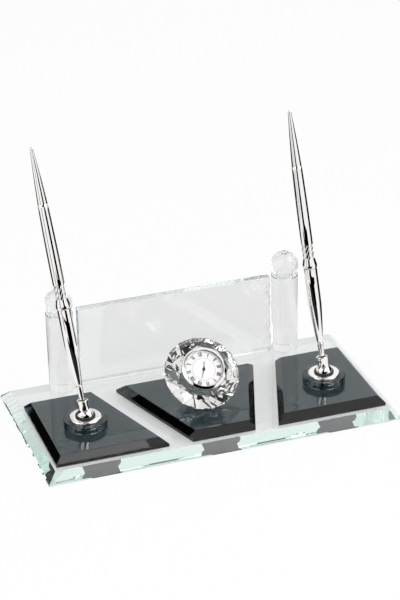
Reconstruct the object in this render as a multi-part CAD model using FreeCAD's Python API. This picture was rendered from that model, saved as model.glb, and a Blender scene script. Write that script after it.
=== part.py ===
import FreeCAD, Part
import math
import os

V = FreeCAD.Vector
UP = V(0, 0, 1)

# Clear base plate with a broad polished bevel
base_length = 225.0
base_depth = 115.0
base_thickness = 6.2
base_edge = 0.9
base_bevel = 5.6

# Three smoked glass plates lying on the base
plate_thickness = 6.0
plate_edge = 2.0
plate_bevel = 3.7
plate_end_margin = 7.3
plate_front_margin = 8.9
plate_back_margin = 31.1
plate_gap = 14.8
centre_back_width = 91.2
centre_front_width = 40.0

# Glass pillars, faceted finial balls and the upright panel between them
pillar_end_margin = 38.0
pillar_back_margin = 11.1
pillar_radius = 8.5
pillar_height = 52.3
pillar_arris = 0.7
finial_radius = 8.65
finial_lift = 6.7
finial_row_angles = (24, 46, 68, 90, 112, 134)
finial_row_counts = (8, 12, 12, 12, 12, 12)
panel_gap = 2.9
panel_thickness = 5.2
panel_height = 53.0
panel_arris = 0.5

# Black glass discs carrying the pen holders
disc_end_margin = 35.2
disc_front_margin = 42.0
disc_radius = 13.3
disc_thickness = 5.0
disc_arris = 0.4

# Chrome socket flange with its collar and hub
flange_radius = 9.8
flange_thickness = 1.4
flange_arris = 0.4
collar_height = 1.1
collar_top_radius = 5.95
collar_foot_radius = 6.25
hub_radius = 7.2
hub_bore_radius = 6.4
hub_length = 3.8
socket_depth = 0.7
pad_recess = 0.25

# Swivelling ball with the pen cup on top
ball_radius = 5.3
cup_radius = 3.7
cup_waist_radius = 3.35
cup_waist_height = 5.6
cup_shoulder_height = 7.4
cup_rim_height = 10.7
cup_rim_round = 0.3
cup_bore_radius = 2.8
cup_floor_height = 1.7
cup_relief_radius = 0.95
cup_relief_depth = 3.6

# Fits
running_clearance = 0.08
seat_clearance = 0.3
bond_clearance = 0.02
twist_clearance = 0.1
cut_overrun = 1.0

# Lean of each pen from upright and the heading it leans towards, degrees
left_lean_angle = 14.4
left_heading_angle = 110.0
right_lean_angle = 11.5
right_heading_angle = 108.1

# Pen lengths from the nose upward
nose_length = 16.2
nose_ring_length = 1.2
taper_length = 25.6
grip_length = 23.0
collar_length = 6.5
flute_length = 9.0
upper_length = 49.5
cap_length = 35.0

# Pen radii
nose_tip_radius = 1.15
nose_top_radius = 1.9
nose_ring_radius = 2.1
taper_tip_radius = 1.95
taper_belly_radius = 3.2
grip_radius = 4.1
collar_radius = 4.45
collar_lip_length = 0.8
collar_band_length = 1.8
barrel_radius = 3.65
barrel_belly_radius = 3.56
barrel_top_radius = 3.1
cap_foot_radius = 3.0
cap_belly_radius = 2.16
cap_tip_radius = 1.0

# Twisted flutes on the upper barrel
flute_count = 12
flute_ridge_radius = 3.58
flute_valley_radius = 3.28
flute_lead = 44.0
flute_steps = 4

# Pen bores, refill and twist mechanism
tip_hole_radius = 0.62
tip_hole_length = 6.5
bore_cone_length = 1.5
refill_radius = 1.1
refill_clearance = 0.12
refill_tip_radius = 0.35
refill_point_radius = 0.5
refill_tip_recess = 0.5
refill_point_length = 9.0
refill_cone_length = 1.5
refill_tail = 13.5
nose_spigot_radius = 1.62
nose_spigot_length = 6.0
core_radius = 3.0
core_length = 10.0
core_spigot_radius = 2.62
core_spigot_length = 14.0
upper_bore_length = 32.0
cap_spigot_radius = 1.9
cap_spigot_length = 10.0

# Brilliant-cut crystal, slopes in degrees from the girdle plane
crystal_front_margin = 50.9
girdle_radius = 23.6
girdle_thickness = 1.2
girdle_sides = 16
crown_height = 5.6
table_margin = 2.1
star_slope = 21.0
upper_girdle_slope = 43.0
pavilion_slope = 41.0
lower_girdle_slope = 42.4
culet_radius = 0.8

# Clock insert, heights measured from the crystal's table
insert_clearance = 0.4
bezel_overhang = 0.8
bezel_round = 0.6
bezel_lip_width = 0.45
bezel_lip_thickness = 0.5
lens_inset = 0.3
lens_thickness = 0.9
spacer_clearance = 0.1
spacer_wall = 0.4
dial_thickness = 0.3
dial_hole_radius = 1.0
dial_face = 0.4
case_radius = 12.7
case_wall = 0.5
case_length = 7.6
grip_start = 2.2
grip_length_along_case = 3.2
grip_groove = 0.2
grip_rib_count = 3
movement_clearance = 0.3
movement_thickness = 5.2
movement_hole_depth = 2.4
battery_radius = 3.4
battery_thickness = 2.6
battery_offset = 6.0
back_thickness = 0.8
knob_radius = 2.4
knob_thickness = 1.2
knob_gap = 0.4
knob_room = 1.2
knob_offset = 5.5
knob_stem_radius = 0.6
knob_stem_reach = 1.6
knob_sides = 16

# Hands, clock angles in degrees from twelve
hour_angle = 17.25
hour_reach = 5.2
hour_level = 0.3
hour_tube_radius = 0.85
hour_bore_radius = 0.5
minute_angle = 207.0
minute_reach = 6.4
minute_level = 0.65
minute_pin_radius = 0.42
minute_cap_radius = 0.75
hand_width = 0.42
hand_tail = 1.5
hand_thickness = 0.15
hand_tip_share = 0.6
hand_room = 0.3

# Radii of the clock insert and of the crystal's bore and table, all from the case
insert_bore_radius = case_radius + insert_clearance
bezel_radius = insert_bore_radius + bezel_overhang
table_radius = bezel_radius + table_margin
lens_radius = case_radius - lens_inset
bezel_lip_radius = lens_radius - bezel_lip_width
spacer_radius = case_radius - case_wall - spacer_clearance
spacer_bore_radius = spacer_radius - spacer_wall
movement_radius = case_radius - case_wall - movement_clearance


def on_ball(radius, polar):
    """Radius and height of a point on a ball, polar angle from the top."""
    return radius * math.sin(math.radians(polar)), radius * math.cos(math.radians(polar))


def half_width(radius, offset):
    """Half-width of a ball at an offset from its centre."""
    return math.sqrt(radius ** 2 - offset ** 2)


def sound(shape):
    """The shape as one outward-facing solid."""
    solid = shape.Solids[0]
    if solid.Volume < 0:
        solid.reverse()
    return solid


def turned(profile):
    """Solid turned about Z; an entry of four numbers arcs through its last two."""
    edges = []
    start = V(profile[-1][0], 0, profile[-1][1])
    for step in profile:
        end = V(step[0], 0, step[1])
        if len(step) > 2:
            edges.append(Part.Arc(start, V(step[2], 0, step[3]), end).toShape())
        else:
            edges.append(Part.makeLine(start, end))
        start = end
    return sound(Part.Face(Part.Wire(edges)).revolve(V(0, 0, 0), UP, 360))


def tube(outer, inner, low, high):
    """Plain ring between two heights."""
    return turned([(inner, low), (outer, low), (outer, high), (inner, high)])


def rod(radius, low, high):
    """Plain round between two heights."""
    return Part.makeCylinder(radius, high - low, V(0, 0, low))


def lifted(points, height):
    """Points of a flat outline set at a height."""
    return [V(point.x, point.y, height) for point in points]


def inset(outline, distance):
    """Counter-clockwise outline drawn inward by an even distance."""
    moved = []
    for i, corner in enumerate(outline):
        along = (corner - outline[i - 1]).normalize()
        onward = (outline[(i + 1) % len(outline)] - corner).normalize()
        first = V(-along.y, along.x, 0)
        second = V(-onward.y, onward.x, 0)
        moved.append(corner + (first + second) * (distance / (1 + first.dot(second))))
    return moved


def skin(rings, twisted=False):
    """Flat-faced solid through stacked rings, its walls halved where they twist."""
    faces = [rings[0], rings[-1]]
    for low, high in zip(rings, rings[1:]):
        for i in range(len(low)):
            j = (i + 1) % len(low)
            if twisted:
                faces.append([low[i], low[j], high[j]])
                faces.append([low[i], high[j], high[i]])
            else:
                faces.append([low[i], low[j], high[j], high[i]])
    flats = [Part.Face(Part.makePolygon(loop + loop[:1])) for loop in faces]
    return sound(Part.makeSolid(Part.makeShell(flats)))


def bevelled_plate(outline, floor, thickness, edge, bevel):
    """Glass plate with an upright edge below a mitred bevel."""
    foot = lifted(outline, floor)
    brow = lifted(outline, floor + edge)
    top = lifted(inset(outline, bevel), floor + thickness)
    return skin([foot, brow, top])


def mirrored(shape):
    """Copy mirrored across the centre plane."""
    return sound(shape.mirror(V(0, 0, 0), V(1, 0, 0)))


def ground(blank, facets):
    """Blank with flats ground on it; each facet is its outward normal and distance."""
    for normal, distance in facets:
        reach = blank.BoundBox.DiagonalLength
        wheel = Part.makeBox(2 * reach, 2 * reach, reach, V(-reach, -reach, distance))
        wheel.Placement = FreeCAD.Placement(V(0, 0, 0), FreeCAD.Rotation(UP, normal))
        blank = blank.cut(wheel)
    return sound(blank)


def heading(azimuth, polar):
    """Unit direction from its azimuth and its angle from the top."""
    across = math.sin(math.radians(polar))
    turn = math.radians(azimuth)
    return V(across * math.cos(turn), across * math.sin(turn), math.cos(math.radians(polar)))


def tier(count, first, polar, through):
    """Facets evenly spaced round the axis, each passing through a radius and height."""
    facets = []
    for i in range(count):
        normal = heading(first + i * 360 / count, polar)
        across = math.sin(math.radians(polar)) * through[0]
        facets.append((normal, across + math.cos(math.radians(polar)) * through[1]))
    return facets


# Levels and places shared by the pieces
deck = base_thickness + plate_thickness
half_length = base_length / 2
half_depth = base_depth / 2
plate_front = plate_front_margin - half_depth
plate_back = half_depth - plate_back_margin
plate_end = half_length - plate_end_margin
pillar_x = half_length - pillar_end_margin
pillar_y = half_depth - pillar_back_margin
disc_x = half_length - disc_end_margin
disc_y = disc_front_margin - half_depth
ball_height = deck + disc_thickness + flange_thickness


def base_plate():
    """Base plate with its bevel all round."""
    outline = [V(-half_length, -half_depth), V(half_length, -half_depth),
               V(half_length, half_depth), V(-half_length, half_depth)]
    return bevelled_plate(outline, 0, base_thickness, base_edge, base_bevel)


def side_plate():
    """Right-hand plate: square outer end, slanted inner side."""
    outline = [V(centre_front_width / 2 + plate_gap, plate_front), V(plate_end, plate_front),
               V(plate_end, plate_back), V(centre_back_width / 2 + plate_gap, plate_back)]
    return bevelled_plate(outline, base_thickness, plate_thickness, plate_edge, plate_bevel)


def centre_plate():
    """Wedge-shaped plate between the side plates, wider at the back."""
    outline = [V(-centre_front_width / 2, plate_front), V(centre_front_width / 2, plate_front),
               V(centre_back_width / 2, plate_back), V(-centre_back_width / 2, plate_back)]
    return bevelled_plate(outline, base_thickness, plate_thickness, plate_edge, plate_bevel)


def pillar():
    """Right-hand pillar with ground arrises."""
    top = base_thickness + pillar_height
    shape = turned([(0, base_thickness),
                    (pillar_radius - pillar_arris, base_thickness),
                    (pillar_radius, base_thickness + pillar_arris),
                    (pillar_radius, top - pillar_arris),
                    (pillar_radius - pillar_arris, top),
                    (0, top)])
    shape.translate(V(pillar_x, pillar_y, 0))
    return shape


def finial():
    """Faceted ball, its foot ground flat to sit on the right-hand pillar."""
    width = 2 * (finial_radius + cut_overrun)
    blank = Part.makeBox(width, width, width, V(-width / 2, -width / 2, -width / 2))
    facets = [(UP, finial_radius), (-UP, finial_lift)]
    for row, (polar, count) in enumerate(zip(finial_row_angles, finial_row_counts)):
        facets += tier(count, row * 180 / count, polar, on_ball(finial_radius, polar))
    shape = ground(blank, facets)
    shape.translate(V(pillar_x, pillar_y, base_thickness + pillar_height + finial_lift))
    return shape


def rear_panel():
    """Upright panel standing between the pillars."""
    length = 2 * (pillar_x - pillar_radius - panel_gap)
    corner = V(-length / 2, pillar_y - panel_thickness / 2, base_thickness)
    shape = Part.makeBox(length, panel_thickness, panel_height, corner)
    return sound(shape.makeChamfer(panel_arris, shape.Edges))


def pen_disc():
    """Disc bored for the hub of the socket flange, heights from the ball centre."""
    top = -flange_thickness
    foot = top - disc_thickness
    bore = hub_radius + bond_clearance
    return turned([(bore, foot),
                   (disc_radius - disc_arris, foot),
                   (disc_radius, foot + disc_arris),
                   (disc_radius, top - disc_arris),
                   (disc_radius - disc_arris, top),
                   (bore, top)])


def socket_flange():
    """Flange whose collar closes over the ball from above."""
    socket = ball_radius + running_clearance
    lip = half_width(socket, collar_height)
    shelf = half_width(socket, socket_depth)
    hub_foot = -flange_thickness - hub_length
    return turned([(hub_radius, hub_foot),
                   (hub_radius, -flange_thickness),
                   (flange_radius, -flange_thickness),
                   (flange_radius, -flange_arris),
                   (flange_radius - flange_arris, 0),
                   (collar_foot_radius, 0),
                   (collar_top_radius, collar_height),
                   (lip, collar_height),
                   (shelf, -socket_depth, socket, 0),
                   (hub_bore_radius, -socket_depth),
                   (hub_bore_radius, hub_foot)])


def seat_pad():
    """Cupped pad under the ball, turning in the hub on the plate."""
    hollow = ball_radius + running_clearance
    rim = -socket_depth - pad_recess
    foot = -flange_thickness - disc_thickness
    edge = half_width(hollow, rim)
    middle = on_ball(hollow, 135)
    outer = hub_bore_radius - running_clearance
    return turned([(0, foot), (outer, foot), (outer, rim), (edge, rim),
                   (0, -hollow, middle[0], middle[1])])


def pen_cup():
    """Ball and cup in one piece, bored for the pen's nose."""
    neck = half_width(ball_radius, cup_waist_radius)
    middle = on_ball(ball_radius, 90)
    shape = turned([(0, -ball_radius),
                    (cup_waist_radius, neck, middle[0], middle[1]),
                    (cup_waist_radius, cup_waist_height),
                    (cup_radius, cup_shoulder_height),
                    (cup_radius, cup_rim_height - cup_rim_round),
                    (cup_radius - cup_rim_round, cup_rim_height),
                    (0, cup_rim_height)])
    bore = rod(cup_bore_radius, cup_floor_height, cup_rim_height + cut_overrun)
    relief = rod(cup_relief_radius, cup_floor_height - cup_relief_depth, cup_rim_height)
    return sound(shape.cut(bore).cut(relief))


# Heights along the pen from the end of its nose
ring_foot = nose_length
taper_foot = ring_foot + nose_ring_length
grip_foot = taper_foot + taper_length
barrel_joint = grip_foot + grip_length
flute_foot = barrel_joint + collar_length
flute_top = flute_foot + flute_length
cap_foot = flute_top + upper_length
pen_tip = cap_foot + cap_length


def pen_nose():
    """Tapered nose with its ring and the spigot that enters the barrel."""
    bore = refill_radius + refill_clearance
    spigot_top = taper_foot + nose_spigot_length
    return turned([(tip_hole_radius, 0),
                   (nose_tip_radius, 0),
                   (nose_top_radius, ring_foot),
                   (nose_ring_radius, ring_foot),
                   (nose_ring_radius, taper_foot),
                   (nose_spigot_radius, taper_foot),
                   (nose_spigot_radius, spigot_top),
                   (bore, spigot_top),
                   (bore, tip_hole_length + bore_cone_length),
                   (tip_hole_radius, tip_hole_length)])


def lower_barrel():
    """Barrel swelling from the nose ring to the grip."""
    narrow = nose_spigot_radius + bond_clearance
    wide = core_radius + bond_clearance
    core_foot = barrel_joint - core_length
    return turned([(narrow, taper_foot),
                   (taper_tip_radius, taper_foot),
                   (grip_radius, grip_foot, taper_belly_radius, (taper_foot + grip_foot) / 2),
                   (grip_radius, barrel_joint),
                   (wide, barrel_joint),
                   (wide, core_foot),
                   (narrow, core_foot)])


def twist_core():
    """Mechanism body seated in the lower barrel, its spigot carrying the upper one."""
    core_foot = barrel_joint - core_length
    bore = refill_radius + refill_clearance
    return turned([(bore, core_foot),
                   (core_radius, core_foot),
                   (core_radius, barrel_joint),
                   (core_spigot_radius, barrel_joint),
                   (core_spigot_radius, barrel_joint + core_spigot_length),
                   (bore, barrel_joint + core_spigot_length)])


def refill():
    """Ink refill with its point."""
    point_foot = refill_tip_recess
    cone_foot = point_foot + refill_point_length
    top = barrel_joint + core_spigot_length + refill_tail
    return turned([(0, point_foot),
                   (refill_tip_radius, point_foot),
                   (refill_point_radius, point_foot + refill_cone_length),
                   (refill_point_radius, cone_foot),
                   (refill_radius, cone_foot + refill_cone_length),
                   (refill_radius, top),
                   (0, top)])


def fluted_band():
    """Band of twisted flutes cut round the upper barrel."""
    rings = []
    for step in range(flute_steps + 1):
        height = flute_length * step / flute_steps
        ring = []
        for i in range(2 * flute_count):
            turn = math.pi * i / flute_count - 2 * math.pi * height / flute_lead
            radius = flute_valley_radius if i % 2 else flute_ridge_radius
            ring.append(V(radius * math.cos(turn), radius * math.sin(turn), flute_foot + height))
        rings.append(ring)
    return skin(rings, True)


def upper_barrel():
    """Upper barrel: flared collar, fluted band and a slow taper to the cap."""
    foot = barrel_joint + twist_clearance
    lip = foot + collar_lip_length
    band = lip + collar_band_length
    collar = turned([(0, foot), (grip_radius, foot), (collar_radius, lip), (collar_radius, band),
                     (barrel_radius, flute_foot), (0, flute_foot)])
    middle = (flute_top + cap_foot) / 2
    plain = turned([(0, flute_top), (barrel_radius, flute_top),
                    (barrel_top_radius, cap_foot, barrel_belly_radius, middle), (0, cap_foot)])
    wide = core_spigot_radius + running_clearance
    wide_bore = rod(wide, barrel_joint - cut_overrun, barrel_joint + upper_bore_length)
    narrow_bore = rod(cap_spigot_radius + bond_clearance, barrel_joint, pen_tip)
    whole = collar.fuse([fluted_band(), plain])
    return sound(whole.cut(wide_bore).cut(narrow_bore).removeSplitter())


def end_cap():
    """Long bellied cap with a rounded end and a spigot in the barrel."""
    shoulder = pen_tip - cap_tip_radius
    waist = (cap_foot + shoulder) / 2
    middle = on_ball(cap_tip_radius, 45)
    return turned([(0, cap_foot - cap_spigot_length),
                   (cap_spigot_radius, cap_foot - cap_spigot_length),
                   (cap_spigot_radius, cap_foot),
                   (cap_foot_radius, cap_foot),
                   (cap_tip_radius, shoulder, cap_belly_radius, waist),
                   (0, pen_tip, middle[0], shoulder + middle[1])])


def clock_crystal():
    """Round brilliant ground from the girdle up and down, bored for the clock, heights from its table."""
    half_side = 180 / girdle_sides
    chord = girdle_radius * math.cos(math.radians(half_side))
    table = girdle_thickness + crown_height
    depth = girdle_radius * math.tan(math.radians(pavilion_slope))
    rim = [girdle_radius * heading(i * 2 * half_side, 90) for i in range(girdle_sides)]
    blank = skin([lifted(rim, -depth), lifted(rim, table + cut_overrun)])
    crown_slope = math.degrees(math.atan2(crown_height, girdle_radius - table_radius))
    star_radius = table_radius * math.cos(math.radians(2 * half_side))
    culet = depth - culet_radius * math.tan(math.radians(pavilion_slope))
    mains = girdle_sides // 2
    facets = [(UP, table), (-UP, culet)]
    facets += tier(mains, 0, crown_slope, (girdle_radius, girdle_thickness))
    facets += tier(girdle_sides, half_side, upper_girdle_slope, (chord, girdle_thickness))
    facets += tier(mains, 2 * half_side, star_slope, (star_radius, table))
    facets += tier(mains, 0, 180 - pavilion_slope, (girdle_radius, 0))
    facets += tier(girdle_sides, half_side, 180 - lower_girdle_slope, (chord, 0))
    bore = rod(insert_bore_radius, table - insert_bore_depth, table + cut_overrun)
    shape = sound(ground(blank, facets).cut(bore))
    shape.translate(V(0, 0, -table))
    return shape


# Levels of the clock insert from the crystal's table
dial_foot = dial_face - dial_thickness
movement_foot = dial_foot - movement_thickness
lens_foot = dial_face + minute_level + hand_thickness + hand_room
lens_top = lens_foot + lens_thickness
bezel_height = lens_top + bezel_lip_thickness
back_foot = -case_length
knob_top = back_foot - knob_gap
knob_foot = knob_top - knob_thickness
insert_bore_depth = knob_room - knob_foot


def clock_bezel():
    """Drum-shaped bezel resting on the crystal, its lip over the lens."""
    bore = lens_radius + bond_clearance
    side = bezel_radius - bezel_round
    shoulder = bezel_height - bezel_round
    middle = on_ball(bezel_round, 45)
    return turned([(bore, 0), (bezel_radius, 0), (bezel_radius, shoulder),
                   (side, bezel_height, side + middle[0], shoulder + middle[1]),
                   (bezel_lip_radius, bezel_height), (bezel_lip_radius, lens_top),
                   (bore, lens_top)])


def clock_case():
    """Thin drum below the bezel with a groove for the grip ring."""
    bottom = -grip_start - grip_length_along_case
    return turned([(case_radius - case_wall, -case_length),
                   (case_radius, -case_length),
                   (case_radius, bottom),
                   (case_radius - grip_groove, bottom),
                   (case_radius - grip_groove, -grip_start),
                   (case_radius, -grip_start),
                   (case_radius, 0),
                   (case_radius - case_wall, 0)])


def grip_ring():
    """Ribbed ring that grips the bore of the crystal."""
    root = case_radius - grip_groove + bond_clearance
    crest = insert_bore_radius - running_clearance
    valley = (root + crest) / 2
    pitch = grip_length_along_case / grip_rib_count
    profile = [(root, -grip_start - grip_length_along_case)]
    for rib in range(grip_rib_count):
        low = -grip_start - grip_length_along_case + rib * pitch
        profile += [(valley, low), (crest, low + pitch / 2)]
    profile += [(valley, -grip_start), (root, -grip_start)]
    return turned(profile)


def clock_movement():
    """Round movement with the hand post hole, knob hole and battery pocket."""
    shape = rod(movement_radius, movement_foot, dial_foot)
    shape = shape.cut(rod(dial_hole_radius, dial_foot - movement_hole_depth, dial_foot + cut_overrun))
    pocket = rod(battery_radius + bond_clearance, movement_foot - cut_overrun,
                 movement_foot + battery_thickness + bond_clearance)
    pocket.translate(V(-battery_offset, 0, 0))
    hole = rod(knob_stem_radius + running_clearance, movement_foot - cut_overrun,
               movement_foot + knob_stem_reach + twist_clearance)
    hole.translate(V(knob_offset, 0, 0))
    return sound(shape.cut(pocket).cut(hole))


def clock_battery():
    """Button cell in the movement's pocket."""
    shape = rod(battery_radius, movement_foot, movement_foot + battery_thickness)
    shape.translate(V(-battery_offset, 0, 0))
    return shape


def clock_back():
    """Back plate inside the case with the knob's hole."""
    shape = rod(case_radius - case_wall - bond_clearance, back_foot, back_foot + back_thickness)
    hole = rod(knob_stem_radius + running_clearance, back_foot - cut_overrun,
               back_foot + back_thickness + cut_overrun)
    hole.translate(V(knob_offset, 0, 0))
    return sound(shape.cut(hole))


def setting_knob():
    """Many-sided knob on a stem that enters the movement."""
    rim = [knob_radius * heading(i * 360 / knob_sides, 90) for i in range(knob_sides)]
    shape = skin([lifted(rim, knob_foot), lifted(rim, knob_top)])
    shape = shape.fuse(rod(knob_stem_radius, knob_foot, movement_foot + knob_stem_reach))
    shape.translate(V(knob_offset, 0, 0))
    return sound(shape)


def hand_blade(reach, angle, level):
    """Slim tapering blade with a short tail, pointing to a clock angle."""
    tip = hand_width * hand_tip_share / 2
    outline = [V(-hand_width / 2, -hand_tail), V(hand_width / 2, -hand_tail), V(tip, reach), V(-tip, reach)]
    blade = skin([lifted(outline, dial_face + level), lifted(outline, dial_face + level + hand_thickness)])
    blade.rotate(V(0, 0, 0), UP, -angle)
    return blade


def hour_hand():
    """Hour hand on its tube."""
    top = dial_face + hour_level + hand_thickness
    shape = hand_blade(hour_reach, hour_angle, hour_level)
    shape = shape.fuse(rod(hour_tube_radius, dial_foot - movement_hole_depth / 2, top))
    return sound(shape.cut(rod(hour_bore_radius, movement_foot, top + cut_overrun)))


def minute_hand():
    """Minute hand on its pin with a small cap."""
    top = dial_face + minute_level + hand_thickness
    shape = hand_blade(minute_reach, minute_angle, minute_level)
    shape = shape.fuse(rod(minute_pin_radius, dial_foot - movement_hole_depth + twist_clearance, top))
    return sound(shape.fuse(rod(minute_cap_radius, dial_face + minute_level, top)))


parts = {}
parts["base_plate"] = base_plate()
parts["centre_plate"] = centre_plate()
parts["rear_panel"] = rear_panel()
pairs = {"plate": side_plate(), "pillar": pillar(), "finial": finial()}
for name, shape in pairs.items():
    parts["right_" + name] = shape
    parts["left_" + name] = mirrored(shape)

fixed = {"pen_disc": pen_disc(), "socket_flange": socket_flange(), "seat_pad": seat_pad()}
leaning = {"pen_nose": pen_nose(), "lower_barrel": lower_barrel(), "twist_core": twist_core(),
           "refill": refill(), "upper_barrel": upper_barrel(), "end_cap": end_cap()}
for shape in leaning.values():
    shape.translate(V(0, 0, cup_floor_height + seat_clearance))
leaning["pen_cup"] = pen_cup()
for side, sign, lean, azimuth in (("left", -1, left_lean_angle, left_heading_angle),
                                  ("right", 1, right_lean_angle, right_heading_angle)):
    centre = V(sign * disc_x, disc_y, ball_height)
    tilt = FreeCAD.Rotation(UP, heading(azimuth, lean))
    for group, turn in ((fixed, FreeCAD.Rotation()), (leaning, tilt)):
        for name, shape in group.items():
            parts[side + "_" + name] = shape.transformed(FreeCAD.Placement(centre, turn).toMatrix())

table_height = girdle_thickness + crown_height
table_axis = heading(-90, pavilion_slope)
foot_of_girdle = V(0, crystal_front_margin - half_depth,
                   deck + girdle_radius * math.sin(math.radians(pavilion_slope)))
table_frame = FreeCAD.Placement(foot_of_girdle + table_axis * table_height,
                                FreeCAD.Rotation(V(1, 0, 0), pavilion_slope)).toMatrix()
insert = {"clock_crystal": clock_crystal(), "clock_bezel": clock_bezel(),
          "clock_lens": rod(lens_radius, lens_foot, lens_top),
          "clock_spacer": tube(spacer_radius, spacer_bore_radius, dial_face, lens_foot),
          "clock_dial": tube(spacer_radius, dial_hole_radius, dial_foot, dial_face),
          "clock_case": clock_case(), "clock_grip_ring": grip_ring(),
          "clock_movement": clock_movement(), "clock_battery": clock_battery(),
          "clock_back": clock_back(), "setting_knob": setting_knob(),
          "hour_hand": hour_hand(), "minute_hand": minute_hand()}
for name, shape in insert.items():
    parts[name] = shape.transformed(table_frame)

os.makedirs("parts", exist_ok=True)
for name, shape in parts.items():
    shape.exportStep("parts/" + name + ".step")
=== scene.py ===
import math

import bmesh
import bpy
from mathutils import Matrix, Vector, noise


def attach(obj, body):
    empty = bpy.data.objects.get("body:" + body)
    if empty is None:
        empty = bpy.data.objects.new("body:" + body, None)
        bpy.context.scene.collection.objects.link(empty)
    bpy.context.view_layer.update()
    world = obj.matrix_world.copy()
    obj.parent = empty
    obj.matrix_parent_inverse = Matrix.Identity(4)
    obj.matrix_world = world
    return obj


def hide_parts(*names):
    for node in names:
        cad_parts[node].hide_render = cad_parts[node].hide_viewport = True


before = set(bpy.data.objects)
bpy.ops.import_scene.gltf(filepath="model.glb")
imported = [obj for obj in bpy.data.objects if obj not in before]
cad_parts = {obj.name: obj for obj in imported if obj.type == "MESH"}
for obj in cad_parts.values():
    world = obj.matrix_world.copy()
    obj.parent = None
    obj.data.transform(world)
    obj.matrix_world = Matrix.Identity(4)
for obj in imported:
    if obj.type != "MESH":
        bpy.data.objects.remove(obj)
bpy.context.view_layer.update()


# The camera looks down on the set from the front left through a long lens,
# turned so that the base runs a little uphill across the frame.
mm = 0.001
picture_height, focal_pixels, sensor_height = 600, 2309.8, 36.0
turn, rise, roll = (math.radians(v) for v in (-18.167, 26.992, -1.325))
aim, distance = Vector((48.229, 139.818, 0)) * mm, 1569.8
back = Vector((math.sin(turn) * math.cos(rise), -math.cos(turn) * math.cos(rise), math.sin(rise)))
across = Vector((math.cos(turn), math.sin(turn), 0))
upward = back.cross(across)
right = across * math.cos(roll) + upward * math.sin(roll)
upright = upward * math.cos(roll) - across * math.sin(roll)
lens = bpy.data.cameras.new("camera")
lens.sensor_fit = "VERTICAL"
lens.sensor_height = sensor_height
lens.lens = focal_pixels / picture_height * sensor_height
lens.clip_start = 0.05
lens.clip_end = 50
camera = bpy.data.objects.new("camera", lens)
bpy.context.scene.collection.objects.link(camera)
axes = Matrix((right, upright, back)).transposed().to_4x4()
camera.matrix_world = Matrix.Translation(aim + back * distance * mm) @ axes
bpy.context.scene.camera = camera
bpy.context.scene.view_settings.view_transform = "Standard"


# The set stands on a table covered with white paper, which is lit evenly and
# fades into the white room. Mirrors alone see three dark patches painted on it,
# painted dark reflections.
def linear(code):
    """Linear colour with alpha from an sRGB hex code."""
    parts = [int(code[i:i + 2], 16) / 255 for i in (1, 3, 5)]
    return [p / 12.92 if p <= 0.04045 else ((p + 0.055) / 1.055) ** 2.4 for p in parts] + [1.0]


def add(tree, kind, inputs=None, **settings):
    """New node with its settings, its input values and the links into it."""
    made = tree.nodes.new(kind)
    for key, value in settings.items():
        setattr(made, key, value)
    for key, value in (inputs or {}).items():
        if isinstance(value, bpy.types.NodeSocket):
            tree.links.new(value, made.inputs[key])
        else:
            made.inputs[key].default_value = value
    return made


def blank_material(name):
    """New material with an empty tree and its output node."""
    made = bpy.data.materials.new(name)
    made.use_nodes = True
    made.node_tree.nodes.clear()
    return made, made.node_tree, add(made.node_tree, "ShaderNodeOutputMaterial")


def stage_sheet(name, corners, made):
    """Flat sheet of the studio through its corners."""
    mesh = bpy.data.meshes.new(name)
    mesh.from_pydata(corners, [], [tuple(range(len(corners)))])
    mesh.materials.append(made)
    sheet = bpy.data.objects.new(name, mesh)
    bpy.context.scene.collection.objects.link(sheet)
    return sheet


white = linear("#FFFFFF")
bounces = bpy.context.scene.cycles
bounces.max_bounces = bounces.glossy_bounces = bounces.transmission_bounces = 48

# Matt paper: an even white that takes soft shadows, painted a little darker through glass as shade.
table_paper, tree, out = blank_material("white_table_paper")
spot = add(tree, "ShaderNodeTexCoord").outputs["Object"]
# Painted reflection: soft near-black patches in the paper's glow, for mirrored rays alone.
patch_core, patch_level = 0.92, 0.02
painted_reflection_patches = (((-0.22, 0.38, 0), (0.34, 0.33, 1)), ((0.36, 0.17, 0), (0.24, 0.30, 1)),
                ((-0.10, -0.26, 0), (0.24, 0.16, 1)))
bare = 1.0
for centre, half in painted_reflection_patches:
    offset = add(tree, "ShaderNodeVectorMath", {0: spot, 1: centre}, operation="SUBTRACT")
    scaled = add(tree, "ShaderNodeVectorMath", {0: offset.outputs[0], 1: half}, operation="DIVIDE")
    reach = add(tree, "ShaderNodeVectorMath", {0: scaled.outputs[0]}, operation="LENGTH")
    patch = add(tree, "ShaderNodeMapRange", {
        "Value": reach.outputs["Value"], "From Min": patch_core, "From Max": 1.0,
        "To Min": patch_level, "To Max": 1.0}, interpolation_type="SMOOTHSTEP")
    bare = add(tree, "ShaderNodeMath", {0: bare, 1: patch.outputs[0]},
               operation="MULTIPLY").outputs[0]
path = add(tree, "ShaderNodeLightPath").outputs
glow_share, glow_level = 0.0, 1.0
# Seen through glass the paper glows at 0.82, not 1: painted shade under the glass.
for ray, share, level in (("Is Camera Ray", 0.9, 1.0), ("Is Glossy Ray", 1.0, bare),
                          ("Is Transmission Ray", 0.55, 0.82)):
    glow_share = add(tree, "ShaderNodeMix",
                     {"Factor": path[ray], "A": glow_share, "B": share}).outputs[0]
    glow_level = add(tree, "ShaderNodeMix",
                     {"Factor": path[ray], "A": glow_level, "B": level}).outputs[0]
paper = add(tree, "ShaderNodeBsdfDiffuse", {"Color": linear("#F4F4F4")})
glow = add(tree, "ShaderNodeEmission", {"Color": white, "Strength": glow_level})
both = add(tree, "ShaderNodeMixShader", {0: glow_share, 1: paper.outputs[0], 2: glow.outputs[0]})
tree.links.new(both.outputs[0], out.inputs["Surface"])
table_half, table_level = 1.6, -0.3 * mm
stage_sheet("table_top", [(sx * table_half, sy * table_half, table_level)
                          for sx, sy in ((-1, -1), (1, -1), (1, 1), (-1, 1))], table_paper)
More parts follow.
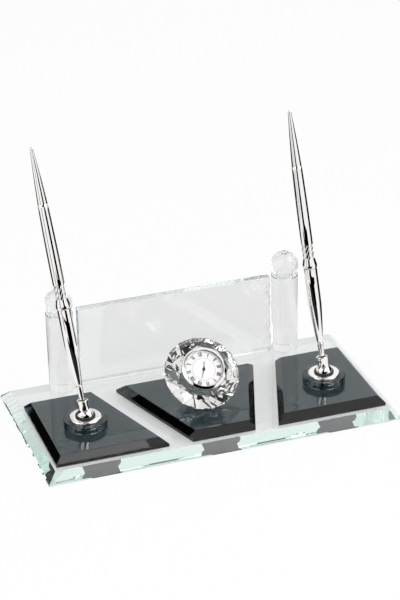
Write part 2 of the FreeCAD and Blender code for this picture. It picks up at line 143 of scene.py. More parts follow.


# Sheets round the set that only mirrored rays meet, casting no shadow: painted reflections.
# A black one paints the dark lines on the pens, a glowing white one keeps those lines thin.
def painted_reflection_sheet(name, level):
    """Sheet that only mirrored rays meet, glowing at a level of light: a painted reflection."""
    made, tree, out = blank_material(name)
    path = add(tree, "ShaderNodeLightPath").outputs
    mirrored = add(tree, "ShaderNodeMath",
                   {0: path["Is Glossy Ray"], 1: path["Is Transmission Ray"]}, operation="SUBTRACT")
    clear = add(tree, "ShaderNodeBsdfTransparent")
    face = add(tree, "ShaderNodeEmission", {"Color": white, "Strength": level})
    both = add(tree, "ShaderNodeMixShader",
               {0: mirrored.outputs[0], 1: clear.outputs[0], 2: face.outputs[0]})
    tree.links.new(both.outputs[0], out.inputs["Surface"])
    return made


# Painted reflections: a black sheet paints deep black into the chrome, a white sheet clean white.
painted_dark_reflection = painted_reflection_sheet("black_flag_cloth", 0.0)
painted_white_reflection = painted_reflection_sheet("painted_white_reflection", 1.0)
for name, (x0, y0), (x1, y1), foot, head, made in (
        ("front_dark_reflection", (-0.26, -0.33), (0.15, -0.33), 0, 0.2, painted_dark_reflection),
        ("side_dark_reflection", (-0.355, -0.125), (-0.333, -0.170), 0, 0.2, painted_dark_reflection),
        ("right_dark_reflection", (0.35, -0.10), (0.35, 0.25), 0, 0.17, painted_dark_reflection),
        ("left_white_reflection", (-0.45, -0.2), (-0.11, -0.2), 0.095, 0.24, painted_white_reflection),
        ("right_white_reflection", (0.02, -0.2), (0.40, -0.2), 0.095, 0.24, painted_white_reflection)):
    corners = [(x0, y0, foot), (x1, y1, foot), (x1, y1, head), (x0, y0, head)]
    card = stage_sheet(name, corners, made)
    card.visible_camera = card.visible_diffuse = False
    card.visible_transmission = card.visible_shadow = False


# A light tent stands over the table: white all round, with dark gaps for the room.
# Mirrors see them in front, overhead and at the back left, and glass sees others.
world = bpy.data.worlds.new("light_tent")
bpy.context.scene.world = world
world.use_nodes = True
tree = world.node_tree
tree.nodes.clear()
aimed = add(tree, "ShaderNodeTexCoord").outputs["Generated"]
tent_on_matt, tent_through_glass = 0.66, 0.86


def tent_level(gaps):
    """White tent with dark gaps: azimuth, elevation, half width, soft edge and level of each."""
    level = 1.0
    for azimuth, elevation, wide, soft, dark in gaps:
        turned, raised = math.radians(azimuth), math.radians(elevation)
        facing = (math.sin(turned) * math.cos(raised), -math.cos(turned) * math.cos(raised),
                  math.sin(raised))
        toward = add(tree, "ShaderNodeVectorMath", {0: aimed, 1: facing}, operation="DOT_PRODUCT")
        gap = add(tree, "ShaderNodeMapRange", {
            "Value": toward.outputs["Value"], "From Min": math.cos(math.radians(wide + soft)),
            "From Max": math.cos(math.radians(wide)), "To Min": 1.0, "To Max": dark},
            interpolation_type="SMOOTHSTEP")
        level = add(tree, "ShaderNodeMath", {0: level, 1: gap.outputs[0]},
                    operation="MULTIPLY").outputs[0]
    return level


mirrored = tent_level(((-10, 20, 40, 4, 0.02), (0, 90, 27, 6, 0.3), (-149, 12, 20, 8, 0.02),
                       (-127, 31, 11, 5, 0.02)))
refracted = tent_level(((-46, 42, 27, 3, 0.02), (30, 52, 18, 3, 0.02), (-150, 60, 16, 3, 0.02),
                        (140, 60, 16, 3, 0.02)))
refracted = add(tree, "ShaderNodeMath", {0: refracted, 1: tent_through_glass},
                operation="MULTIPLY").outputs[0]
path = add(tree, "ShaderNodeLightPath").outputs
level = tent_on_matt
for ray, shown in (("Is Glossy Ray", mirrored), ("Is Transmission Ray", refracted),
                   ("Is Camera Ray", 1.0)):
    level = add(tree, "ShaderNodeMix", {"Factor": path[ray], "A": level, "B": shown}).outputs[0]
sky = add(tree, "ShaderNodeBackground", {"Color": white, "Strength": level})
tree.links.new(sky.outputs[0], add(tree, "ShaderNodeOutputWorld").inputs["Surface"])


# Two square softboxes, a weak one at the left and a stronger one at the front right,
# both turned to the set. They give the plates and pens their soft sheen.
for name, place, size, power in (("left_softbox", (-1.0, -0.36, 0.75), 0.8, 3.2),
                                 ("right_softbox", (0.73, -0.78, 0.90), 1.1, 10.0)):
    lamp = bpy.data.lights.new(name, "AREA")
    lamp.shape = "SQUARE"
    lamp.size = size
    lamp.energy = power
    holder = bpy.data.objects.new(name, lamp)
    holder.location = place
    holder.rotation_euler = (-Vector(place)).to_track_quat("-Z", "Y").to_euler()
    bpy.context.scene.collection.objects.link(holder)


# Clear float glass base, cut to size, its top edges ground to a broad bevel
# and polished. It stands loose on the table.
def polished_glass(name, ior, absorbed, density, shadow, rough=0.0):
    """Polished glass: clear skin over a body that takes up colour with depth.

    Lamps pass it in the tint given for its shadow; a rough skin is softly ground."""
    made, tree, out = blank_material(name)
    skin = add(tree, "ShaderNodeBsdfPrincipled", {
        "Base Color": white, "Roughness": rough, "IOR": ior, "Transmission Weight": 1.0})
    passed = add(tree, "ShaderNodeBsdfTransparent", {"Color": linear(shadow)})
    path = add(tree, "ShaderNodeLightPath")
    both = add(tree, "ShaderNodeMixShader",
               {0: path.outputs["Is Shadow Ray"], 1: skin.outputs[0], 2: passed.outputs[0]})
    tree.links.new(both.outputs[0], out.inputs["Surface"])
    if density:
        body = add(tree, "ShaderNodeVolumeAbsorption",
                   {"Color": linear(absorbed), "Density": density})
        tree.links.new(body.outputs[0], out.inputs["Volume"])
    return made


def dress(node, made):
    """Gives a CAD node its material."""
    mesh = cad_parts[node].data
    mesh.materials.clear()
    mesh.materials.append(made)


# Iron in the melt: clear seen flat, green along the long paths at the edges.
float_glass = polished_glass("green_float_glass", 1.52, "#55D8B4", 2.6, "#F2F8F5")
dress("base_plate", float_glass)


# Three smoked glass plates with ground bevels and eased edges, bonded to the top of
# the base: two with a square outer end, and a wedge between them.
def close_stack(work, rings):
    """Closes a body through rings of corners, from its foot to its head."""
    work.faces.new(list(reversed(rings[0])))
    work.faces.new(rings[-1])
    for low, high in zip(rings, rings[1:]):
        for i in range(len(low)):
            j = (i + 1) % len(low)
            work.faces.new((low[i], low[j], high[j], high[i]))


def finished_mesh(name, work):
    """Plain mesh from the work, which is then put away."""
    mesh = bpy.data.meshes.new(name)
    work.to_mesh(mesh)
    work.free()
    return mesh


def plate_mesh(name, outline, floor, thickness, edge, bevel, arris):
    """Bevelled plate on a counter-clockwise outline, its sharp edges eased."""
    corners = [Vector(p) for p in outline]
    inner = []
    for i, corner in enumerate(corners):
        along = (corner - corners[i - 1]).normalized()
        onward = (corners[(i + 1) % len(corners)] - corner).normalized()
        first, second = Vector((-along.y, along.x)), Vector((-onward.y, onward.x))
        inner.append(corner + (first + second) * (bevel / (1 + first.dot(second))))
    work = bmesh.new()
    rings = []
    for ring, height in ((corners, 0), (corners, edge), (inner, thickness)):
        rings.append([work.verts.new((p.x * mm, p.y * mm, floor + height * mm)) for p in ring])
    close_stack(work, rings)
    bmesh.ops.bevel(work, geom=list(work.edges), offset=arris * mm, segments=2, profile=0.5,
                    affect="EDGES")
    bmesh.ops.recalc_face_normals(work, faces=work.faces)
    return finished_mesh(name, work)


def piece(name, mesh, made, body, slot, *nodes):
    """Object for a finished mesh, riding on its body in place of its CAD nodes."""
    mesh.materials.clear()
    mesh.materials.append(made)
    shown = bpy.data.objects.new(name, mesh)
    bpy.context.scene.collection.objects.link(shown)
    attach(shown, body)
    if nodes:
        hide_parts(*nodes)
    return shown


# Dyed through: slate grey in thin places, nearly black in the body, bright on top.
smoked_glass = polished_glass("smoked_glass", 1.52, "#74949D", 440.0, "#404548")
base_top, glue_gap = 6.2 * mm, 0.05 * mm
plate_height, plate_edge, plate_bevel, plate_arris = 5.92, 2.0, 3.7, 0.12
right_outline = [(34.8, -48.6), (105.2, -48.6), (105.2, 26.4), (60.4, 26.4)]
left_outline = [(-x, y) for x, y in reversed(right_outline)]
centre_outline = [(-20, -48.6), (20, -48.6), (45.6, 26.4), (-45.6, 26.4)]
for name, outline in (("left_plate", left_outline), ("centre_plate", centre_outline),
                      ("right_plate", right_outline)):
    mesh = plate_mesh(name, outline, base_top + glue_gap, plate_height, plate_edge, plate_bevel,
                      plate_arris)
    piece(name + "_glass", mesh, smoked_glass, "stand", "smoked_glass", name)


# Thin pads between the base and the front of each plate, blotchy grey, drawn only
# from below, where the base's bevel shows them as dark patches. From above and to
# lamps they are clear.
bevel_patch, tree, out = blank_material("glue_film_on_smoked_glass")
spot = add(tree, "ShaderNodeTexCoord").outputs["Object"]
blot_size = 3 * mm
blots = add(tree, "ShaderNodeTexNoise",
            {"Vector": spot, "Scale": 1 / blot_size, "Detail": 4.0, "Roughness": 0.7})
tone = add(tree, "ShaderNodeMix", {"Factor": blots.outputs["Fac"], "A": linear("#2E2C30"),
                                   "B": linear("#A5A3A8")}, data_type="RGBA")
film = add(tree, "ShaderNodeBsdfPrincipled",
           {"Base Color": tone.outputs["Result"], "Roughness": 0.35})
clear = add(tree, "ShaderNodeBsdfTransparent")
facing = add(tree, "ShaderNodeNewGeometry").outputs["True Normal"]
faced = add(tree, "ShaderNodeSeparateXYZ", {"Vector": facing})
below = add(tree, "ShaderNodeMath", {0: faced.outputs["Z"], 1: 0.0}, operation="LESS_THAN")
path = add(tree, "ShaderNodeLightPath").outputs
seen = add(tree, "ShaderNodeMath", {0: below.outputs[0], 1: path["Is Shadow Ray"]},
           operation="SUBTRACT", use_clamp=True)
both = add(tree, "ShaderNodeMixShader",
           {0: seen.outputs[0], 1: clear.outputs[0], 2: film.outputs[0]})
tree.links.new(both.outputs[0], out.inputs["Surface"])

pad_middles = {"left": -74.0, "centre": 2.0, "right": 78.0}
pad_corner, pad_half, pad_back, pad_front = 7, 3.5, -16, -36
pad_levels = (base_top - 0.06 * mm, base_top - 0.02 * mm)
corner_steps = 6
for name, middle in pad_middles.items():
    rim = []
    for cx, cy, start in ((pad_half, pad_back, 0), (-pad_half, pad_back, 90),
                          (-pad_half, pad_front, 180), (pad_half, pad_front, 270)):
        for step in range(corner_steps + 1):
            bend = math.radians(start + 90 / corner_steps * step)
            rim.append(((middle + cx + pad_corner * math.cos(bend)) * mm,
                        (cy + pad_corner * math.sin(bend)) * mm))
    work = bmesh.new()
    close_stack(work, [[work.verts.new((x, y, level)) for x, y in rim] for level in pad_levels])
    mesh = finished_mesh(name + "_bevel_patch", work)
    piece(name + "_bevel_patch", mesh, bevel_patch, "stand", "smoked_glass")


# Two solid glass pillars of drawn rod with ground ends, bonded upright at the back
# of the base.
def lathe(name, profile, place, sides=96, crease=28):
    """Turned mesh from radius and height pairs in millimetres, closed on its axis or on itself."""
    work = bmesh.new()
    rings = []
    for radius, height in profile:
        if radius < 1e-6:
            rings.append([work.verts.new((0, 0, height * mm))])
            continue
        rings.append([work.verts.new((radius * mm * math.cos(2 * math.pi * i / sides),
                                      radius * mm * math.sin(2 * math.pi * i / sides), height * mm))
                      for i in range(sides)])
    closed = len(rings[0]) > 1 and len(rings[-1]) > 1
    pairs = list(zip(rings, rings[1:])) + ([(rings[-1], rings[0])] if closed else [])
    for low, high in pairs:
        for i in range(sides):
            j = (i + 1) % sides
            if len(low) == 1 and len(high) > 1:
                work.faces.new((low[0], high[j], high[i]))
            elif len(high) == 1 and len(low) > 1:
                work.faces.new((low[i], low[j], high[0]))
            elif len(low) > 1:
                work.faces.new((low[i], low[j], high[j], high[i]))
    bmesh.ops.recalc_face_normals(work, faces=work.faces)
    work.transform(place)
    mesh = finished_mesh(name, work)
    mesh.shade_smooth()
    mesh.set_sharp_from_angle(angle=math.radians(crease))
    return mesh


# Thick clear rod: pale grey in the middle, drawn darker along both sides.
pillar_glass = polished_glass("drawn_crystal_rod", 1.52, "#D9D8E2", 5.0, "#EEF0F2")
pillar_x, rear_y = 74.5, 46.4
pillar_profile = [(0, 0), (8.25, 0), (8.5, 0.25), (8.5, 51.9), (8.2, 52.2), (0, 52.2)]
for side, sign in (("left", -1), ("right", 1)):
    place = Matrix.Translation((sign * pillar_x * mm, rear_y * mm, base_top + glue_gap))
    rod = lathe(side + "_pillar", pillar_profile, place)
    piece(side + "_pillar_rod", rod, pillar_glass, "stand", "pillar_glass", side + "_pillar")


# Upright panel of clear glass between the pillars, bonded to the base. Its edges
# are ground, and its right end is chipped rough by hand.
# Low in iron: almost no tint on its face, grey-green edges, frost on the chips.
panel_glass = polished_glass("clear_panel_glass", 1.52, "#A6CFC8", 3.0, "#F0F2F3")
tree = panel_glass.node_tree
spot = add(tree, "ShaderNodeTexCoord").outputs["Object"]
along = add(tree, "ShaderNodeSeparateXYZ", {"Vector": spot}).outputs["X"]
frost_start, frost_full, frost_rough = 54 * mm, 62 * mm, 0.3
flake_size, flake_low, flake_high = 3.5 * mm, 0.3, 0.42
near = add(tree, "ShaderNodeMapRange",
           {"Value": along, "From Min": frost_start, "From Max": frost_full})
flakes = add(tree, "ShaderNodeTexNoise", {"Vector": spot, "Scale": 1 / flake_size, "Detail": 2.0})
depth = add(tree, "ShaderNodeMath", {0: near.outputs[0], 1: flakes.outputs["Fac"]},
            operation="MULTIPLY")
frost = add(tree, "ShaderNodeMapRange", {
    "Value": depth.outputs[0], "From Min": flake_low, "From Max": flake_high,
    "To Max": frost_rough}, interpolation_type="SMOOTHSTEP")
tree.links.new(frost.outputs[0], tree.nodes["Principled BSDF"].inputs["Roughness"])

panel_outline = [(-63.1, 43.8), (64.4, 43.8), (64.4, 49.0), (-63.1, 49.0)]
panel_height, panel_edge, panel_bevel, panel_arris = 52.9, 52.4, 0.5, 0.08
panel = plate_mesh("panel", panel_outline, base_top + glue_gap, panel_height, panel_edge,
                   panel_bevel, panel_arris)
work = bmesh.new()
work.from_mesh(panel)
chip_start, chip_width, chip_least = 58.9, 5.5, 0.01
column_step, row_step = 1.3, 2.6
columns = [((chip_start + column_step * i) * mm, 0, 0) for i in range(5)]
rows = [(0, 0, base_top + row_step * k * mm) for k in range(1, 20)]
for points, facing in ((columns, (1, 0, 0)), (rows, (0, 0, 1))):
    for point in points:
        bmesh.ops.bisect_plane(work, geom=work.verts[:] + work.edges[:] + work.faces[:],
                               plane_co=point, plane_no=facing)
bmesh.ops.triangulate(work, faces=work.faces)
face_depth, face_grain = 2.4 * mm, 3.8 * mm
end_depth, end_grain = 1.5 * mm, 4.7 * mm
for vert in work.verts:
    share = (vert.co.x / mm - chip_start) / chip_width
    if share > chip_least:
        inward = 1 if vert.co.y < rear_y * mm else -1
        vert.co.y += inward * face_depth * share * abs(noise.noise(vert.co / face_grain))
        vert.co.x -= end_depth * share * abs(noise.noise(vert.co / end_grain))
work.to_mesh(panel)
work.free()
piece("panel_glass", panel, panel_glass, "stand", "panel_glass", "rear_panel")


# Faceted glass balls, pressed and wheel-polished, one bonded on top of each pillar.
# Fine wheel marks: bright and milky, with soft facets and no sharp reflections.
finial_glass = polished_glass("faceted_crystal_ball", 1.54, "#E4E6EA", 5.0, "#E8EAEC", 0.2)
for side in ("left", "right"):
    dress(side + "_finial", finial_glass)


# Black glass discs with polished rims, bonded to the side plates. Each is bored
# for the hub of a pen holder.
# Dyed deeper than the plates: black with a cold blue-grey sheen in its rim.
black_glass = polished_glass("black_glass", 1.52, "#7C959B", 240.0, "#101212")
deck = 12.2
holder_spots = {"left": (-77.3, -15.5), "right": (77.3, -15.5)}
disc_profile = [(7.22, 0), (12.9, 0), (13.3, 0.4), (13.3, 4.52), (13.02, 4.86), (12.85, 4.92),
                (7.22, 4.92)]
for side, (x, y) in holder_spots.items():
    place = Matrix.Translation((x * mm, y * mm, deck * mm + glue_gap))
    disc = lathe(side + "_disc", disc_profile, place)
    piece(side + "_disc_glass", disc, black_glass, "stand", "black_glass", side + "_pen_disc")


# Chromed brass pen holders: a flange set in the disc, and a ball with a cup that
# swivels in it. A rubber collar closes the gap round each ball.
def moulded(name, code, shade, rough):
    """Moulded plastic or rubber with a fine mottle from the mould."""
    made, tree, out = blank_material(name)
    spot = add(tree, "ShaderNodeTexCoord").outputs["Object"]
    mottle = 0.8 * mm
    grain = add(tree, "ShaderNodeTexNoise", {"Vector": spot, "Scale": 1 / mottle, "Detail": 3.0})
    tone = add(tree, "ShaderNodeMix", {"Factor": grain.outputs["Fac"], "A": linear(code),
                                       "B": linear(shade)}, data_type="RGBA")
    bump = add(tree, "ShaderNodeBump",
               {"Height": grain.outputs["Fac"], "Strength": 0.15, "Distance": 0.1 * mm})
    body = add(tree, "ShaderNodeBsdfPrincipled", {
        "Base Color": tone.outputs["Result"], "Roughness": rough, "Normal": bump.outputs[0]})
    tree.links.new(body.outputs[0], out.inputs["Surface"])
    return made


def arc(radius, first, last, steps, centre=(0, 0)):
    """Points on a circle of a profile, polar angles from the top."""
    points = []
    for i in range(steps + 1):
        polar = math.radians(first + (last - first) * i / steps)
        points.append((centre[0] + radius * math.sin(polar),
                       centre[1] + radius * math.cos(polar)))
    return points


# Plated and buffed: a clear warm mirror of the room, hazed here and there by the mop.
chrome, tree, out = blank_material("buffed_chrome_plate")
spot = add(tree, "ShaderNodeTexCoord").outputs["Object"]
haze_size, haze_rough = 3 * mm, 0.03
haze = add(tree, "ShaderNodeTexNoise", {"Vector": spot, "Scale": 1 / haze_size, "Detail": 3.0})
polish = add(tree, "ShaderNodeMapRange",
             {"Value": haze.outputs["Fac"], "To Min": 0.0, "To Max": haze_rough})
plating = add(tree, "ShaderNodeBsdfPrincipled", {
    "Base Color": linear("#F5F3F1"), "Metallic": 1.0, "Roughness": polish.outputs[0]})
tree.links.new(plating.outputs[0], out.inputs["Surface"])

# Moulded rubber: brown-black and dull, a dark ring between two mirrors.
collar_rubber = moulded("black_rubber", "#1C1512", "#251C18", 0.45)

ball_level, ball_radius, neck_radius = 18.6, 5.3, 3.35
leans = {"left": (14.4, 110.0), "right": (11.5, 108.1)}
neck = math.degrees(math.asin(neck_radius / ball_radius))
flange_profile = ([(7.2, -5.2), (7.2, -1.4), (9.75, -1.4), (9.8, -1.3), (9.8, -0.8)]
                  + arc(0.8, 90, 0, 7, (9.0, -0.8))
                  + [(6.2, 0), (6.12, -0.08), (6.12, -0.5), (5.4, -0.5), (5.4, -0.7), (6.4, -0.7),
                     (6.4, -5.2)])
collar_profile = ([(5.42, -0.46), (6.08, -0.46), (6.08, 0.7)] + arc(0.4, 90, 0, 5, (5.68, 0.7))
                  + [(5.34, 1.1)])
cup_profile = (arc(ball_radius, 180, neck, 28)
               + [(3.32, 5.2), (3.3, 6.8), (3.42, 7.8), (3.5, 8.8), (3.52, 9.4)]
               + arc(0.4, 100, -60, 8, (3.2, 9.8))
               + [(2.8, 9.6), (2.8, 1.7), (0.95, 1.7), (0.95, -1.9), (0, -1.9)])
pen_places = {}
for side, (x, y) in holder_spots.items():
    lean, toward = (math.radians(v) for v in leans[side])
    heading = Vector((math.sin(lean) * math.cos(toward), math.sin(lean) * math.sin(toward),
                      math.cos(lean)))
    centre = Matrix.Translation((x * mm, y * mm, ball_level * mm))
    leaning = centre @ Vector((0, 0, 1)).rotation_difference(heading).to_matrix().to_4x4()
    pen_places[side] = leaning
    flange = lathe(side + "_flange", flange_profile, centre)
    piece(side + "_flange_plate", flange, chrome, "stand", "chrome", side + "_socket_flange")
    collar = lathe(side + "_collar", collar_profile, centre)
    piece(side + "_collar_ring", collar, collar_rubber, "stand", "grip_rubber")
    cup = lathe(side + "_cup", cup_profile, leaning)
    piece(side + "_cup_ball", cup, chrome, side + "_cup", "chrome", side + "_pen_cup")


# Two slim pens of drawn and plated brass: nose, lower barrel, upper barrel with
# a flared collar and a band of twisted flutes, and a long tapering end cap.
def through(first, middle, last, steps):
    """Points along the circle through three points of a profile, first and last included."""
    (ax, ay), (bx, by), (cx, cy) = first, middle, last
    a, b, c = ax * ax + ay * ay, bx * bx + by * by, cx * cx + cy * cy
    d = 2 * (ax * (by - cy) + bx * (cy - ay) + cx * (ay - by))
    ux = (a * (by - cy) + b * (cy - ay) + c * (ay - by)) / d
    uy = (a * (cx - bx) + b * (ax - cx) + c * (bx - ax)) / d
    start, end = math.atan2(ay - uy, ax - ux), math.atan2(cy - uy, cx - ux)
    size = math.hypot(ax - ux, ay - uy)
    return [(ux + size * math.cos(start + (end - start) * i / steps),
             uy + size * math.sin(start + (end - start) * i / steps)) for i in range(steps + 1)]


nose_profile = ([(0.62, 2.0), (1.0, 2.0), (1.15, 2.15), (1.9, 18.1), (1.9, 18.2)]
                + arc(0.6, 150, 30, 8, (1.58, 18.8))
                + [(1.62, 19.4), (1.62, 25.4), (1.22, 25.4), (1.22, 10.0), (0.62, 8.5)])
lower_profile = ([(1.64, 19.42), (1.9, 19.42)]
                 + through((1.95, 19.5), (3.2, 32.2), (4.1, 45.0), 24)
                 + [(4.1, 56.0), (4.1, 67.5), (3.95, 68.0), (3.02, 68.0), (3.02, 58.0),
                    (1.64, 58.0)])
upper_profile = ([(2.7, 68.1), (3.95, 68.1), (4.3, 68.45), (4.45, 68.9), (4.45, 70.5), (4.3, 71.1),
                  (4.05, 72.2), (3.8, 73.4), (3.66, 74.2), (3.62, 74.5), (3.28, 74.55),
                  (3.28, 83.45), (3.62, 83.5)]
                 + through((3.65, 83.7), (3.56, 108.25), (3.1, 132.8), 14)
                 + [(3.0, 133.0), (1.92, 133.0), (1.92, 100.0), (2.7, 100.0)])
cap_profile = ([(0, 123.0), (1.9, 123.0), (1.9, 133.0), (2.84, 133.0)]
               + through((3.0, 133.2), (2.16, 150.0), (1.0, 166.9), 16)
               + arc(1.0, 86, 0, 8, (0, 167.0)))

flute_foot = 74.55
flutes = bpy.data.node_groups.new("twisted_flutes", "GeometryNodeTree")
flutes.is_modifier = True
ports = {}
for name, kind, value in (("Band radius", "NodeSocketFloat", 3.3 * mm),
                          ("Band length", "NodeSocketFloat", 8.9 * mm),
                          ("Lead", "NodeSocketFloat", 44.0 * mm),
                          ("Ridge radius", "NodeSocketFloat", 0.3 * mm),
                          ("Ridges", "NodeSocketInt", 12), ("Plate", "NodeSocketMaterial", chrome)):
    port = flutes.interface.new_socket(name, in_out="INPUT", socket_type=kind)
    ports[name] = (port.identifier, value)
flutes.interface.new_socket("Geometry", in_out="OUTPUT", socket_type="NodeSocketGeometry")
given = add(flutes, "NodeGroupInput").outputs
turns = add(flutes, "ShaderNodeMath", {0: given["Band length"], 1: given["Lead"]},
            operation="DIVIDE")
spiral = add(flutes, "GeometryNodeCurveSpiral", {
    "Resolution": 160, "Rotations": turns.outputs[0], "Start Radius": given["Band radius"],
    "End Radius": given["Band radius"], "Height": given["Band length"], "Reverse": True})
section = add(flutes, "GeometryNodeCurvePrimitiveCircle",
              {"Resolution": 8, "Radius": given["Ridge radius"]})
ridge = add(flutes, "GeometryNodeCurveToMesh", {
    "Curve": spiral.outputs[0], "Profile Curve": section.outputs[0], "Fill Caps": True})
seats = add(flutes, "GeometryNodePoints", {"Count": given["Ridges"]})
step = add(flutes, "ShaderNodeMath", {0: 2 * math.pi, 1: given["Ridges"]}, operation="DIVIDE")
count = add(flutes, "GeometryNodeInputIndex")
angle = add(flutes, "ShaderNodeMath", {0: count.outputs[0], 1: step.outputs[0]},
            operation="MULTIPLY")
spin = add(flutes, "ShaderNodeCombineXYZ", {"Z": angle.outputs[0]})
ring = add(flutes, "GeometryNodeInstanceOnPoints", {
    "Points": seats.outputs[0], "Instance": ridge.outputs[0], "Rotation": spin.outputs[0]})
solid = add(flutes, "GeometryNodeRealizeInstances", {"Geometry": ring.outputs[0]})
smooth = add(flutes, "GeometryNodeSetShadeSmooth", {"Geometry": solid.outputs[0]})
plated = add(flutes, "GeometryNodeSetMaterial",
             {"Geometry": smooth.outputs[0], "Material": given["Plate"]})
add(flutes, "NodeGroupOutput", {"Geometry": plated.outputs[0]})


def grown(tree, values, name):
    """Plain mesh from a node tree, its inputs set by identifier."""
    seed = bpy.data.objects.new(name, bpy.data.meshes.new(name))
    bpy.context.scene.collection.objects.link(seed)
    maker = seed.modifiers.new(name, "NODES")
    maker.node_group = tree
    for identifier, value in values.values():
        maker[identifier] = value
    ready = seed.evaluated_get(bpy.context.evaluated_depsgraph_get())
    mesh = bpy.data.meshes.new_from_object(ready)
    bpy.data.objects.remove(seed)
    return mesh


for side, place in pen_places.items():
    pen, top = side + "_pen", side + "_pen_top"
    nose = lathe(side + "_nose", nose_profile, place, sides=64)
    piece(side + "_nose_cone", nose, chrome, pen, "chrome", side + "_pen_nose")
    lower = lathe(side + "_lower", lower_profile, place)
    piece(side + "_lower_tube", lower, chrome, pen, "chrome", side + "_lower_barrel")
    upper = lathe(side + "_upper", upper_profile, place)
    piece(side + "_upper_tube", upper, chrome, top, "chrome", side + "_upper_barrel")
    cap = lathe(side + "_cap", cap_profile, place)
    piece(side + "_cap_cone", cap, chrome, top, "chrome", side + "_end_cap")
    band = grown(flutes, ports, side + "_flutes")
    band.transform(place @ Matrix.Translation((0, 0, flute_foot * mm)))
    piece(side + "_flute_band", band, chrome, top, "chrome")


# Inner pieces of the pens and holders: moulded twist cores, extruded refill tubes
# and moulded nylon seats under the balls. All are pushed in, none is glued.
# Acetal is dull black, undyed nylon a milky cream, polypropylene a waxy off-white.
core_plastic = moulded("black_acetal", "#1C1C1C", "#262626", 0.4)
seat_nylon = moulded("natural_nylon", "#D8D4C8", "#E2DED4", 0.45)
refill_tube = moulded("extruded_polypropylene", "#DEDEDA", "#D2D2CC", 0.35)
for side in ("left", "right"):
    dress(side + "_twist_core", core_plastic)
    dress(side + "_seat_pad", seat_nylon)
    dress(side + "_refill", refill_tube)


# Brilliant-cut block of optical crystal lying on one lower facet, bonded to the
# centre plate, its flat table bored for the clock. Facets are lapped and polished.
# A heavy glass: bright facets broken into black and white, faintly warm in the depth.
clock_crystal = polished_glass("lapped_optical_crystal", 1.56, "#F4F0DC", 4.0, "#D8DAD6")
dress("clock_crystal", clock_crystal)


# Face of the clock insert: a turned and plated bezel round a flat mineral lens, and
# the plated spacer ring that keeps the lens off the dial.
lower_slope = math.radians(41.0)
girdle_radius, girdle_y, table_height = 23.6, -6.6, 6.8
table = Vector((0, girdle_y - table_height * math.sin(lower_slope),
                deck + girdle_radius * math.sin(lower_slope)
                + table_height * math.cos(lower_slope))) * mm
clock_place = Matrix.Translation(table) @ Matrix.Rotation(lower_slope, 4, "X")
bezel_profile = [(12.42, 0), (13.9, 0), (13.9, 1.8), (13.82, 1.96), (13.7, 2.06), (12.3, 2.84),
                 (12.15, 2.9), (12.05, 2.86), (11.95, 2.7), (11.95, 2.4), (12.42, 2.4)]
bezel = lathe("bezel", bezel_profile, clock_place, sides=128)
piece("bezel_ring", bezel, chrome, "clock", "clock_metal", "clock_bezel")
# Thin and colourless: only its gloss shows.
lens_glass = polished_glass("mineral_lens_glass", 1.5, "#FFFFFF", 0.0, "#F6F6F6")
dress("clock_lens", lens_glass)
dress("clock_spacer", chrome)


# Dial of lacquered sheet with printed Roman numerals and two thin rings, and the
# slim stamped hands above it. They sit on the movement's spindle.
def coated(name, code, shade, rough, fleck):
    """Sprayed or printed coat between two near colours, in flecks of a size."""
    made, tree, out = blank_material(name)
    spot = add(tree, "ShaderNodeTexCoord").outputs["Object"]
    speck = add(tree, "ShaderNodeTexNoise", {"Vector": spot, "Scale": 1 / fleck, "Detail": 2.0})
    tone = add(tree, "ShaderNodeMix", {"Factor": speck.outputs["Fac"], "A": linear(code),
                                       "B": linear(shade)}, data_type="RGBA")
    coat = add(tree, "ShaderNodeBsdfPrincipled",
               {"Base Color": tone.outputs["Result"], "Roughness": rough})
    tree.links.new(coat.outputs[0], out.inputs["Surface"])
    return made


# Sprayed lacquer: a smooth warm white with a faint fleck.
dial_lacquer = coated("white_dial_lacquer", "#F6F4F4", "#FBF9F9", 0.35, 0.5 * mm)
dress("clock_dial", dial_lacquer)

# Pad-printed ink, also on the hands: flat black, a shade thinner in places.
dial_ink = coated("black_dial_ink", "#18181B", "#2E2E33", 0.5, 0.3 * mm)
numerals = ("XII", "I", "II", "III", "IIII", "V", "VI", "VII", "VIII", "IX", "X", "XI")
numeral_height, numeral_radius = 2.7, 9.7
thick, thin, letter_gap = 0.44, 0.44 * 0.55, 0.24
letter_widths = {"I": 0.62, "V": 1.25, "X": 1.35}
print_face = 0.4
print_levels = (print_face + 0.004, print_face + 0.02)
ring_radii, ring_bars = ((7.3, 0.12), (11.2, 0.1)), 72
work = bmesh.new()


def print_bar(points, place):
    """Flat printed bar on the dial through its corner points."""
    close_stack(work, [[work.verts.new(place @ Vector((x * mm, y * mm, level * mm)))
                        for x, y in points] for level in print_levels])


def slanted(x0, x1, wide):
    """Corners of a stroke from the foot of a numeral to its head."""
    low, high = numeral_radius - numeral_height / 2, numeral_radius + numeral_height / 2
    return [(x0 - wide / 2, low), (x0 + wide / 2, low),
            (x1 + wide / 2, high), (x1 - wide / 2, high)]


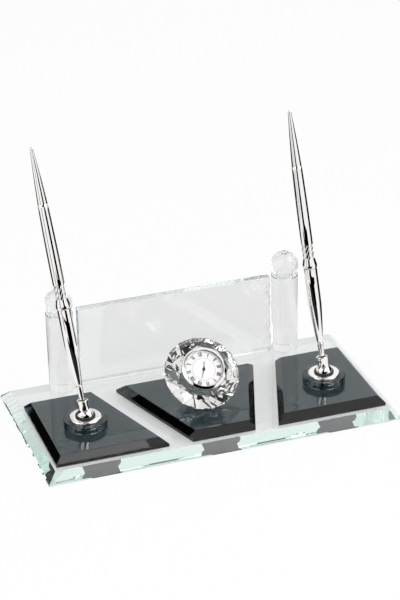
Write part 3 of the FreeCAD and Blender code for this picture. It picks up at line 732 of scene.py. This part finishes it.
for hour, word in enumerate(numerals):
    place = clock_place @ Matrix.Rotation(-math.radians(360 / len(numerals) * hour), 4, "Z")
    x = -sum(letter_widths[letter] for letter in word) / 2
    for letter in word:
        middle, spread = x + letter_widths[letter] / 2, letter_widths[letter] / 2 - letter_gap
        if letter == "I":
            print_bar(slanted(middle, middle, thick), place)
        elif letter == "V":
            print_bar(slanted(middle, middle - spread, thick), place)
            print_bar(slanted(middle, middle + spread, thin), place)
        else:
            print_bar(slanted(middle + spread, middle - spread, thick), place)
            print_bar(slanted(middle - spread, middle + spread, thin), place)
        x += letter_widths[letter]
half_bar = math.radians(180 / ring_bars)
sine, cosine = math.sin(half_bar), math.cos(half_bar)
for radius, wide in ring_radii:
    inner, outer = radius - wide / 2, radius + wide / 2
    for i in range(ring_bars):
        place = clock_place @ Matrix.Rotation(math.radians(360 / ring_bars * i), 4, "Z")
        print_bar([(-inner * sine, inner * cosine), (inner * sine, inner * cosine),
                   (outer * sine, outer * cosine), (-outer * sine, outer * cosine)], place)
bmesh.ops.recalc_face_normals(work, faces=work.faces)
piece("dial_print", finished_mesh("dial_print", work), dial_ink, "clock", "dial_white")
for node in ("hour_hand", "minute_hand"):
    dress(node, dial_ink)


# Works of the insert behind the dial: spun steel case and back, moulded
# movement and knob, a button cell and the rubber ring that grips the crystal.
def drawn_metal(name, code, shade, rough, pitch):
    """Bare metal with fine draw lines along one direction, drawn coarse enough to show."""
    made, tree, out = blank_material(name)
    spot = add(tree, "ShaderNodeTexCoord").outputs["Object"]
    across, stretched = 1 / pitch, 0.05 / pitch
    run = add(tree, "ShaderNodeMapping", {"Vector": spot, "Scale": (across, across, stretched)})
    lines = add(tree, "ShaderNodeTexNoise",
                {"Vector": run.outputs[0], "Scale": 1.0, "Detail": 3.0})
    tone = add(tree, "ShaderNodeMix", {"Factor": lines.outputs["Fac"], "A": linear(code),
                                       "B": linear(shade)}, data_type="RGBA")
    body = add(tree, "ShaderNodeBsdfPrincipled", {
        "Base Color": tone.outputs["Result"], "Metallic": 1.0, "Roughness": rough})
    tree.links.new(body.outputs[0], out.inputs["Surface"])
    return made


# Spun steel is a mid grey half mirror, the cell's plating paler and softer, and the
# movement's plastic a dull ivory.
spun_steel = drawn_metal("spun_steel", "#A4A4A7", "#8E8E92", 0.12, 0.3 * mm)
cell_steel = drawn_metal("plated_cell_can", "#C6C6C6", "#B4B4B4", 0.25, 0.4 * mm)
movement_plastic = moulded("moulded_movement_plastic", "#D6D5D0", "#CBCAC4", 0.45)
for node, made in (("clock_case", spun_steel), ("clock_back", spun_steel),
                   ("clock_battery", cell_steel), ("clock_movement", movement_plastic),
                   ("setting_knob", movement_plastic), ("clock_grip_ring", collar_rubber)):
    dress(node, made)
